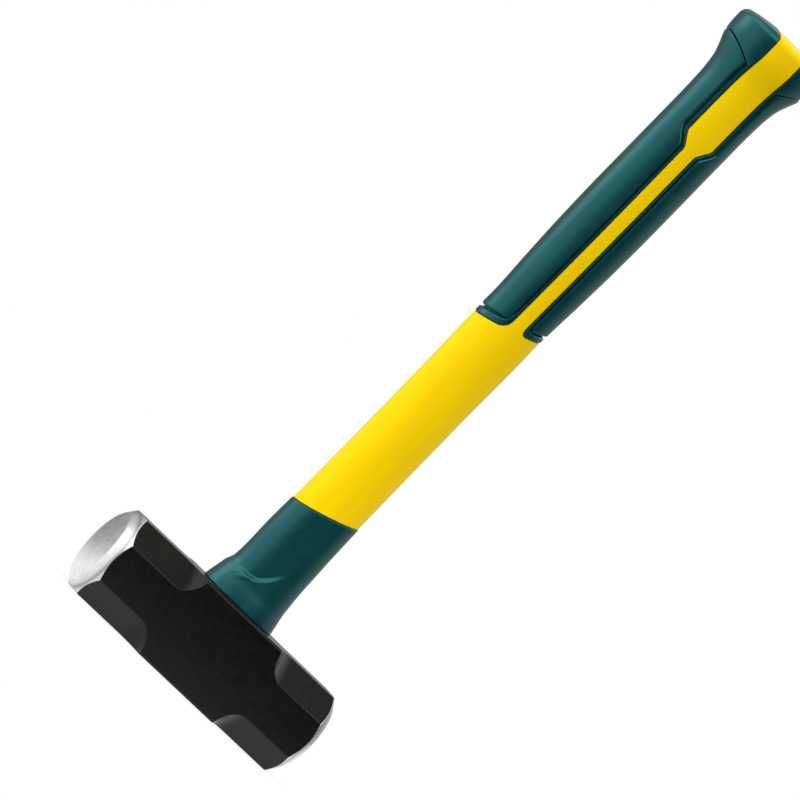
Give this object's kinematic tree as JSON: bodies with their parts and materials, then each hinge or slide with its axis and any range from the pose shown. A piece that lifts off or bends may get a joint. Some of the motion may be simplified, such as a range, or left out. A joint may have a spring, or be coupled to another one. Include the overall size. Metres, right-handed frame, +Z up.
{
  "type": "sledgehammer",
  "caption": "Short double-faced sledgehammer: square steel head with chamfered ends and a fibreglass handle with a moulded jacket, rubber collar and rubber grip.",
  "frame": {"origin": "centre of the flat the head stands on, on the handle's centre line", "axes": "+Z up the handle to the butt, +X along the head to a striking face, +Y across the head"},
  "size_m": [0.139, 0.0462, 0.409],
  "materials": {
    "head_steel": "black lacquer over forged steel, both striking ends turned bright and bare",
    "fiberglass": "pultruded glass fibre",
    "epoxy_resin": "cast resin",
    "seal_foam": "closed-cell foam",
    "yellow_jacket": "smooth moulded, semi-gloss",
    "green_collar": "satin moulded rubber",
    "green_grip": "satin moulded rubber",
    "green_pad": "satin moulded rubber"
  },
  "bodies": {
    "root": {"hammer_head": "head_steel", "fiberglass_core": "fiberglass", "epoxy_bond": "epoxy_resin", "eye_seal_ring": "seal_foam", "handle_jacket": "yellow_jacket", "head_collar": "green_collar", "grip_base_left": "green_grip", "grip_base_right": "green_grip", "grip_pad_left": "green_pad", "grip_pad_right": "green_pad"}
  },
  "joints": []
}
